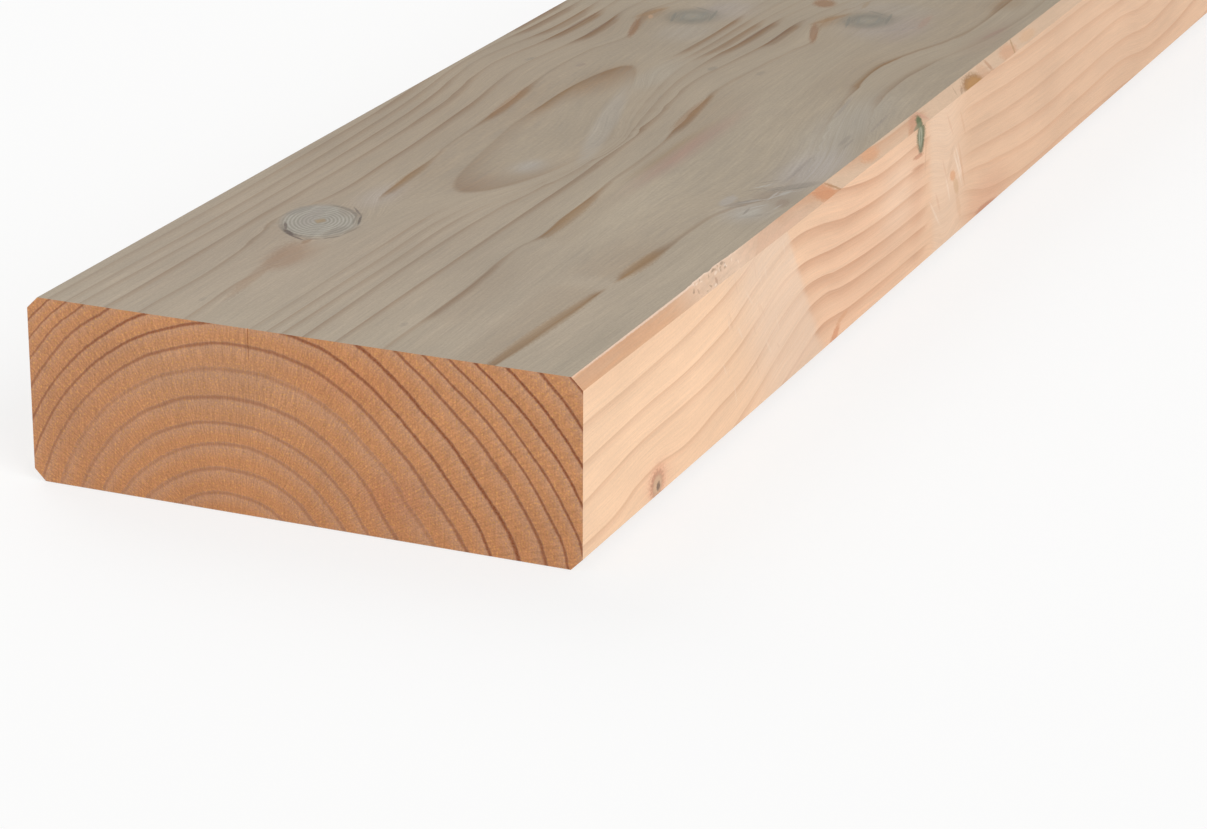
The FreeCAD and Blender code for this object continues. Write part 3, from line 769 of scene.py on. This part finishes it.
def planed_softwood(
    name, early_near, early_far, cool_late, warm_late, knot_body, knot_ring, knot_crack, streaks, hairs,
    marks, on_top=False,
):
    """Bare planed softwood in these colours. Its marks lie on the top, or on the right edge and arris."""
    material, tree, shader = new_material(name)
    read = {key: node(tree, "Attribute", attribute_name=key) for key in CORNER_VALUES}
    parts = {
        key: node(tree, "SeparateXYZ", {0: read[key]["Vector"]})
        for key in ("fibre", "late_wood", "knot", "oval")
    }

    # Patterns stretched along the grain: their size across the grain and along it in mm, and their
    # detail. Real fibres are 0.03 mm across. They are drawn ten times as coarse, so that they show.
    grain = noises(tree, [
        (key, read["fibre"]["Vector"], (across_size, along_size, across_size), detail)
        for key, across_size, along_size, detail in (
            ("waver", 9.0, 70.0, 2.0), ("cloud", 20.0, 50.0, 3.0), ("streak", 1.5, 55.0, 4.0),
            ("hair", 0.32, 13.0, 3.0), ("fleck", 0.5, 1.0, 2.0),
        )
    ])

    # Early wood darkens slowly through the ring. Late wood starts a share of the ring before its rim,
    # deepens to the rim, and stops there at once. The oval's rims are laid in with it.
    wavered = node(
        tree, "Math", {0: grain["waver"], 1: 0.16, 2: read["rings"]["Fac"]}, operation="MULTIPLY_ADD"
    )[0]
    shifted = node(tree, "Math", {0: wavered, 1: 0.08}, operation="SUBTRACT")[0]
    phase = node(tree, "Math", {0: shifted}, operation="FRACT")[0]
    start = node(tree, "Math", {0: 1.0, 1: parts["late_wood"][2]}, operation="SUBTRACT")[0]
    deepening = node(tree, "MapRange", {0: phase, 1: start, 2: 0.97})[0]
    steepness = node(tree, "MapRange", {0: parts["late_wood"][0], 1: 0.4, 2: 1.0, 3: 1.6, 4: 0.5})[0]
    deepened = node(tree, "Math", {0: deepening, 1: steepness}, operation="POWER")[0]
    ended = node(tree, "MapRange", {0: phase, 1: 0.97, 2: 1.0, 3: 1.0, 4: 0.0})[0]
    gathering = node(tree, "Math", {0: phase, 1: 1.5}, operation="POWER")[0]
    gathering = node(tree, "Math", {0: gathering, 1: 0.2}, operation="MULTIPLY")[0]
    deepened = node(tree, "Math", {0: deepened, 1: gathering}, operation="MAXIMUM")[0]
    late = node(tree, "Math", {0: deepened, 1: ended}, operation="MULTIPLY")[0]
    late = node(tree, "Math", {0: late, 1: parts["late_wood"][0]}, operation="MULTIPLY")[0]
    wobbled = node(
        tree, "Math", {0: grain["waver"], 1: 0.06, 2: parts["oval"][0]}, operation="MULTIPLY_ADD"
    )[0]
    oval = node(tree, "MapRange", {0: wobbled, 1: 0.45, 2: 1.02})[0]
    oval = node(tree, "Math", {0: oval, 1: 2.2}, operation="POWER")[0]
    oval_end = node(tree, "MapRange", {0: wobbled, 1: 1.03, 2: 1.07, 3: 1.0, 4: 0.0})[0]
    for amount in (oval_end, parts["oval"][1]):
        oval = node(tree, "Math", {0: oval, 1: amount}, operation="MULTIPLY")[0]
    late = node(tree, "Math", {0: late, 1: oval}, operation="MAXIMUM")[0]
    broken = node(tree, "MapRange", {0: grain["streak"], 1: 0.3, 2: 0.65, 3: 0.7, 4: 1.15})[0]
    late = node(tree, "Math", {0: late, 1: broken}, operation="MULTIPLY", use_clamp=True)[0]

    # Early wood with its stains, then late wood over both.
    away = node(tree, "MapRange", {0: parts["fibre"][1], 1: 0.0, 2: 300.0})[0]
    streaked = node(tree, "MapRange", {0: grain["streak"], 1: 0.3, 2: 0.6, 3: 0.6, 4: 1.0})[0]
    stained = node(tree, "Math", {0: read["stain"]["Alpha"], 1: streaked}, operation="MULTIPLY")[0]
    late_colour = node(
        tree, "Mix", {0: parts["late_wood"][1], 6: rgba(cool_late), 7: rgba(warm_late)}, data_type="RGBA"
    )[2]
    layers = (away, rgba(early_far)), (stained, read["stain"]["Color"]), (late, late_colour)
    colour = layered(tree, rgba(early_near), layers)

    # Knots: greyish end wood with fine rings of its own, a brown heart, and a dark crack along part of
    # the rim.
    reach, dark, rim_dark = parts["knot"]
    uneven = node(tree, "Math", {0: grain["cloud"], 1: 0.24, 2: reach}, operation="MULTIPLY_ADD")[0]
    edge = node(tree, "Math", {0: uneven, 1: 0.12}, operation="SUBTRACT")[0]
    body = node(tree, "MapRange", {0: edge, 1: 1.1, 2: 0.85, 3: 0.0, 4: 0.95})[0]
    body = node(tree, "Math", {0: body, 1: dark}, operation="MULTIPLY")[0]
    turns = node(tree, "Math", {0: edge, 1: 62.0}, operation="MULTIPLY")[0]
    wave = node(tree, "Math", {0: turns}, operation="SINE")[0]
    circles = node(tree, "MapRange", {0: wave, 1: -1.0, 2: 1.0, 3: 0.0, 4: 1.1})[0]
    circles = node(tree, "Math", {0: circles, 1: grain["fleck"]}, operation="MULTIPLY")[0]
    heart = node(tree, "MapRange", {0: edge, 1: 0.15, 2: 0.1, 3: 0.0, 4: 0.9})[0]
    end_wood = layered(tree, rgba(knot_body), ((circles, rgba(knot_ring)), (heart, rgba("#988260"))))
    from_rim = node(tree, "Math", {0: edge, 1: 0.98}, operation="SUBTRACT")[0]
    from_rim = node(tree, "Math", {0: from_rim}, operation="ABSOLUTE")[0]
    crack = node(tree, "MapRange", {0: from_rim, 1: 0.09, 2: 0.0, 3: 0.0, 4: 0.8})[0]
    crumbled = node(tree, "MapRange", {0: grain["fleck"], 1: 0.3, 2: 0.6, 3: 0.3, 4: 1.0})[0]
    for amount in (dark, rim_dark, crumbled):
        crack = node(tree, "Math", {0: crack, 1: amount}, operation="MULTIPLY")[0]
    colour = layered(tree, colour, ((body, end_wood), (crack, rgba(knot_crack))))

    # Small crisp marks: resin, specks, torn fibre and bark.
    place = node(tree, "TexCoord")["Object"]
    ragged = node(tree, "Math", {0: grain["fleck"], 1: 0.5}, operation="SUBTRACT")[0]
    for mark_along, mark_across, half_length, half_width, turn, code, amount in marks:
        if on_top:
            centre, half_size = (mark_across, mark_along, THICKNESS), (half_width, half_length, 2 * ARRIS)
            turned = (0, 0, -math.radians(turn))
        else:
            centre, half_size = (WIDTH, mark_along, mark_across), (2 * ARRIS, half_length, half_width)
            turned = (math.radians(turn), 0, 0)
        colour = lay_mark(tree, colour, place, ragged, centre, half_size, turned, code, amount)

    # Clouds, streaks and hairs lighten and darken the wood, and hairs and late wood stand a little proud.
    rough = node(tree, "MapRange", {0: grain["hair"], 1: 0.3, 2: 0.7, 3: 0.62, 4: 0.76})[0]
    tree.links.new(rough, shader.inputs["Roughness"])
    shader.inputs["Specular IOR Level"].default_value = 0.3
    cloud, streak, hair, fleck = (grain[key] for key in ("cloud", "streak", "hair", "fleck"))
    tones = (cloud, 0.07), (streak, streaks), (hair, hairs), (fleck, hairs / 2)
    heights = (hair, 0.5), (fleck, 0.35), (streak, 0.3), (late, 0.4)
    finish_surface(tree, shader, colour, tones, heights, 0.12)
    return material


# One material can't hold all the marks of the top, so three like ones share it along the beam. A mark
# near a border is laid in both.
TOP_PARTS = (0.0, 125.0, 230.0, LENGTH)
# Painted shade: the top's colours below are greyer and darker than those of the fresh faces.
painted_shade_tops = []
for start, end in zip(TOP_PARTS, TOP_PARTS[1:]):
    marks_here = [
        mark for mark in TOP_MARKS + torn_fibres
        if start - 2 * mark[2] - 3 < mark[0] < end + 2 * mark[2] + 3
    ]
    painted_shade_tops.append(planed_softwood(
        f"planed_spruce_painted_shade_{len(painted_shade_tops) + 1}", "#A39683", "#978975", "#74583C", "#795B37",
        "#A29C90", "#6E675B", "#574B40", 0.08, 0.14, marks_here, on_top=True,
    ))
fresh_edge = planed_softwood(
    "planed_spruce_fresh", "#EFCAA8", "#D8B496", "#C3987C", "#BE8A68", "#A98C70", "#8C6C52", "#5A3E2E",
    0.03, 0.07, EDGE_MARKS + ripples + splits,
)
eased_arris = planed_softwood(
    "planed_spruce_arris", "#CFB298", "#C9AC92", "#C09274", "#BB845E", "#A98C70", "#8C6C52", "#5A3E2E",
    0.03, 0.06, ARRIS_MARKS + crumbs,
)

# Sawn end grain of the same wood: the cut ends of its fibres drink in light, so it is a deeper orange
# brown than the planed faces. Each ring starts orange and grows paler, then ends in a thin dark line.
# Fine rays and saw marks cross it, and pale painted glints stand in for light caught by cut fibre ends.
end_grain, tree, shader = new_material("sawn_spruce_end_grain")
rings_read = node(tree, "Attribute", attribute_name="rings")["Fac"]
fibre_read = node(tree, "Attribute", attribute_name="fibre")["Vector"]
late_read = node(tree, "Attribute", attribute_name="late_wood")["Vector"]
stain_read = node(tree, "Attribute", attribute_name="stain")
place_read = node(tree, "TexCoord")["Object"]
pattern = noises(tree, (
    ("waver", place_read, (9 * MM, 9 * MM, 9 * MM), 2.0),
    ("jitter", place_read, (1.2 * MM, MM, 1.2 * MM), 1.0),
    ("cloud", place_read, (20 * MM, MM, 20 * MM), 3.0),
    ("grit", place_read, (0.5 * MM, MM, 0.5 * MM), 2.0),
    ("painted_glint", place_read, (0.6 * MM, MM, 0.6 * MM), 1.0),
    ("ray", fibre_read, (4.0, 0.5, 1.0), 2.0),
    ("saw", place_read, (0.6 * MM, MM, 9 * MM), 2.0),
))
wavered = rings_read
for key, amount in (("waver", 0.14), ("jitter", 0.08)):
    centred = node(tree, "Math", {0: pattern[key], 1: 0.5}, operation="SUBTRACT")[0]
    wavered = node(tree, "Math", {0: centred, 1: amount, 2: wavered}, operation="MULTIPLY_ADD")[0]
phase = node(tree, "Math", {0: wavered}, operation="FRACT")[0]
paling = node(tree, "MapRange", {0: phase, 1: 0.3, 2: 0.75})[0]
stained = node(tree, "Math", {0: stain_read["Alpha"], 1: 0.8}, operation="MULTIPLY")[0]
# Painted glints: pale spots laid into the colour as painted highlights off cut fibre ends.
painted_glint = node(tree, "MapRange", {0: pattern["painted_glint"], 1: 0.53, 2: 0.7, 3: 0.0, 4: 0.7})[0]
off_line = node(tree, "Math", {0: phase, 1: 0.91}, operation="SUBTRACT")[0]
off_line = node(tree, "Math", {0: off_line}, operation="ABSOLUTE")[0]
line = node(tree, "MapRange", {0: off_line, 1: 0.12, 2: 0.03, 3: 0.0, 4: 0.95})[0]
line_shown = node(tree, "SeparateXYZ", {0: late_read})[0]
dotted = node(tree, "MapRange", {0: pattern["grit"], 1: 0.3, 2: 0.6, 3: 0.65, 4: 1.1})[0]
for amount in (line_shown, dotted):
    line = node(tree, "Math", {0: line, 1: amount}, operation="MULTIPLY", use_clamp=True)[0]
colour = layered(tree, rgba("#C3895F"), (
    (paling, rgba("#C19171")), (stained, stain_read["Color"]), (painted_glint, rgba("#D59E5E")),
    (line, rgba("#85492C")),
))
shader.inputs["Roughness"].default_value = 0.8
shader.inputs["Specular IOR Level"].default_value = 0.2
TONES = (("cloud", 0.06), ("grit", 0.16), ("ray", 0.15), ("saw", 0.08))
tones = [(pattern[key], amount) for key, amount in TONES]
heights = [(pattern[key], amount) for key, amount in (("grit", 0.6), ("ray", 0.4), ("saw", 0.5))]
finish_surface(tree, shader, colour, tones, heights, 0.2)

# The top's three materials, the fresh one of the other long faces, the arrises' and the ends'.
for material in (fresh_edge, eased_arris, end_grain, *painted_shade_tops):
    mesh.materials.append(material)
PLACE_OF_MATERIAL = {"top": 3, "underside": 0, "right": 0, "left": 0, "near end": 2, "far end": 2}
material_of_face = np.array([PLACE_OF_MATERIAL.get(name, 1) for name in SIDES])[side_of_face]
centres = np.zeros(len(mesh.polygons) * 3)
mesh.polygons.foreach_get("center", centres)
part_of_face = np.searchsorted(TOP_PARTS[1:-1], (centres[1::3] - low.y) / MM)
material_of_face += np.where(material_of_face == PLACE_OF_MATERIAL["top"], part_of_face, 0)
mesh.polygons.foreach_set("material_index", material_of_face.astype(np.int32))
mesh.update()
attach(beam, "root")
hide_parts(NODE)


def seen_directly(tree):
    """1 for rays from the camera, mirrored rays and rays through glass, and 0 for rays that give light."""
    kinds = node(tree, "LightPath")
    total = 0.0
    for kind in ("Is Camera Ray", "Is Glossy Ray", "Is Transmission Ray"):
        total = node(tree, "Math", {0: kinds[kind], 1: total}, operation="ADD", use_clamp=True)[0]
    return total


# A plain white floor under soft studio light: an even sky, a broad lamp from the right and a weak one
# from behind on the left. The floor shows white to the camera and still takes the beam's shadow.
FLOOR_HALF, FLOOR_DROP, FLOOR_GLOW = 60.0, 0.0002, 0.7
ground = bmesh.new()
floor_level = Matrix.Translation((0, 0, low.z - FLOOR_DROP))
bmesh.ops.create_grid(ground, x_segments=1, y_segments=1, size=FLOOR_HALF, matrix=floor_level)
floor, floor_mesh = add_piece("studio_floor", ground)
paper, tree, shader = new_material("white_paper_floor")
shader.inputs["Base Color"].default_value = rgba("#F4F4F3")
shader.inputs["Roughness"].default_value = 0.9
shader.inputs["Specular IOR Level"].default_value = 0.0
glow = node(tree, "Emission", {"Color": (1, 1, 1, 1), "Strength": 1.0})[0]
glow_share = node(tree, "Math", {0: seen_directly(tree), 1: FLOOR_GLOW}, operation="MULTIPLY")[0]
mixed = node(tree, "MixShader", {0: glow_share, 1: shader.outputs[0], 2: glow})[0]
tree.links.new(mixed, tree.nodes["Material Output"].inputs["Surface"])
floor_mesh.materials.append(paper)

SKY_STRENGTH = 0.55
world = bpy.data.worlds.new("even_sky")
bpy.context.scene.world = world
world.use_nodes = True
tree = world.node_tree
sky = node(tree, "MapRange", {0: seen_directly(tree), 1: 0.0, 2: 1.0, 3: SKY_STRENGTH, 4: 1.0})[0]
tree.nodes["Background"].inputs["Color"].default_value = (1, 1, 1, 1)
tree.links.new(sky, tree.nodes["Background"].inputs["Strength"])
SOFTBOX_SPREAD = 40.0
for name, towards, power in (
    ("right_softbox", (0.75, -0.42, 0.55), 1.7), ("back_softbox", (-0.6, 0.55, 0.6), 0.8),
):
    lamp = bpy.data.lights.new(name, "SUN")
    lamp.energy = power
    lamp.angle = math.radians(SOFTBOX_SPREAD)
    holder = bpy.data.objects.new(name, lamp)
    holder.rotation_mode = "QUATERNION"
    holder.rotation_quaternion = Vector(towards).to_track_quat("Z", "Y")
    bpy.context.scene.collection.objects.link(holder)

# The camera stands where the photograph was taken from: worked out from the corners of the near end, in
# millimetres from its lower left corner, with a long lens.
CAMERA_PLACE = (483.7, -776.2, 351.8)
CAMERA_AZIMUTH, CAMERA_ELEVATION, CAMERA_ROLL = 23.07, 20.28, 0.29
FOCAL_PIXELS, PICTURE_WIDTH, SENSOR_WIDTH = 3908.0, 1207.0, 36.0
camera_data = bpy.data.cameras.new("camera")
camera_data.sensor_width = SENSOR_WIDTH
camera_data.lens = FOCAL_PIXELS / PICTURE_WIDTH * SENSOR_WIDTH
camera = bpy.data.objects.new("camera", camera_data)
turn = Matrix.Rotation(math.radians(CAMERA_AZIMUTH), 4, "Z")
tip = Matrix.Rotation(math.radians(90 - CAMERA_ELEVATION), 4, "X")
roll = Matrix.Rotation(math.radians(CAMERA_ROLL), 4, "Z")
camera.matrix_world = Matrix.Translation(low + Vector(CAMERA_PLACE) * MM) @ turn @ tip @ roll
bpy.context.scene.collection.objects.link(camera)
bpy.context.scene.camera = camera
bpy.context.scene.view_settings.view_transform = "Standard"
